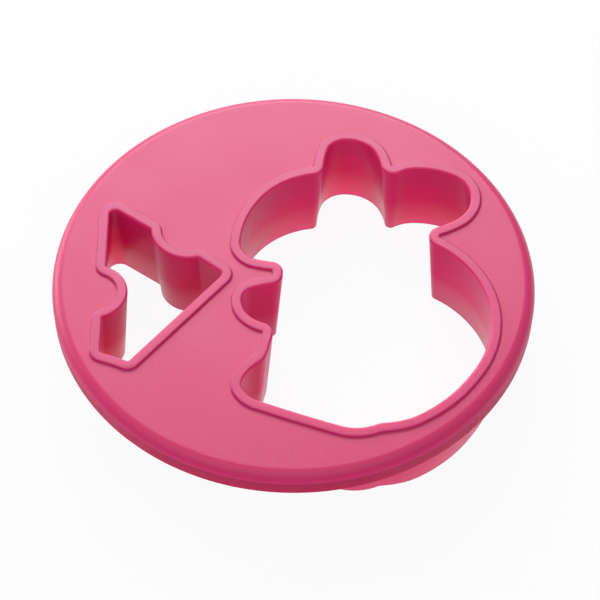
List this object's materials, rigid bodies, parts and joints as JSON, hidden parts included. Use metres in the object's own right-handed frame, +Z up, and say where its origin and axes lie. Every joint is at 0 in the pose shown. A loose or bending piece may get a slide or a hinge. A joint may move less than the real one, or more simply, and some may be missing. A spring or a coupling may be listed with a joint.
{
  "type": "cookie cutter",
  "caption": "Round pink plastic cookie cutter: a rounded press plate with tapered cutting walls through it, one shaped as a sitting mouse and one as a bitten cheese wedge",
  "frame": {"origin": "on the plane of the cutting edges, below the middle of the round plate", "axes": "+Z points up out of the press face, +Y points to the mouse's ears, +X to the mouse's back"},
  "size_m": [0.1, 0.1, 0.0204],
  "materials": {
    "cover_pink": "matte, fine grain",
    "base_pink": "smooth satin",
    "cutter_pink": "smooth satin"
  },
  "bodies": {
    "root": {"grip_cover": "cover_pink", "base_plate": "base_pink", "mouse_cutter": "cutter_pink", "cheese_cutter": "cutter_pink"}
  },
  "joints": []
}
